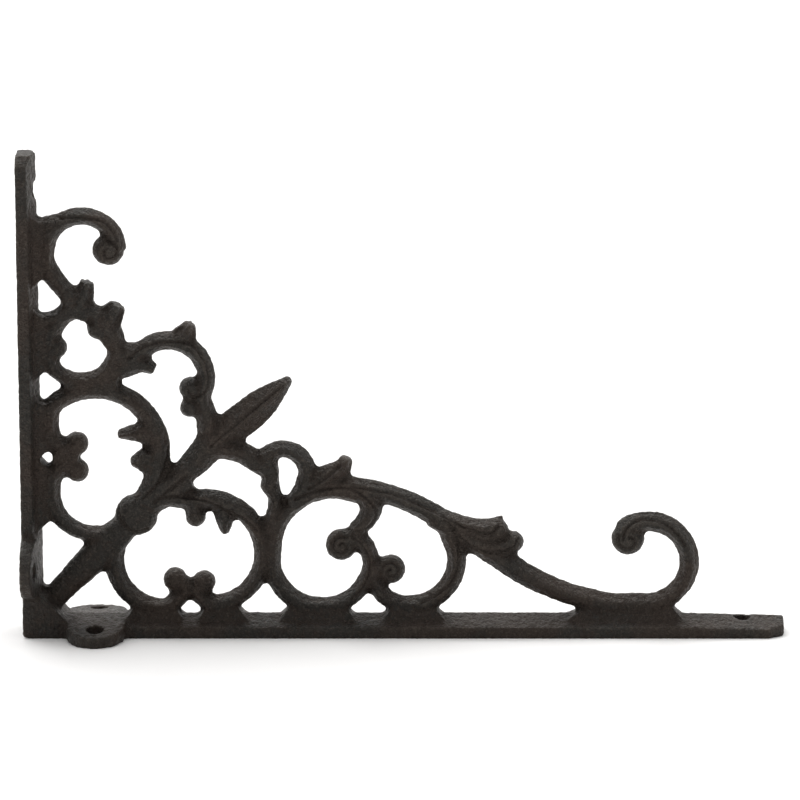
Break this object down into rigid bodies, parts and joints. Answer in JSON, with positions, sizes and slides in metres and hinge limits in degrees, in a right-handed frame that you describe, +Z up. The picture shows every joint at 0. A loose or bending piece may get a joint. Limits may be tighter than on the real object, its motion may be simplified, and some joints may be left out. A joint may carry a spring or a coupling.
{
  "type": "plant hanger bracket",
  "caption": "Ornamental cast-iron L-bracket with flat screw-down legs, eared near the corner, an open panel of scrolls and leaves, and a hook near the long leg's tip.",
  "frame": {"origin": "centre of the footprint, on the flat underside of the long leg", "axes": "+X along the long leg from the corner towards its hooked end; +Y across the casting, its thickness direction; +Z up along the short leg"},
  "size_m": [0.3, 0.0484, 0.193],
  "materials": {
    "cast_iron": "rough sand-cast, near-black with a rust-brown cast"
  },
  "bodies": {
    "root": {"bracket": "cast_iron"}
  },
  "joints": []
}
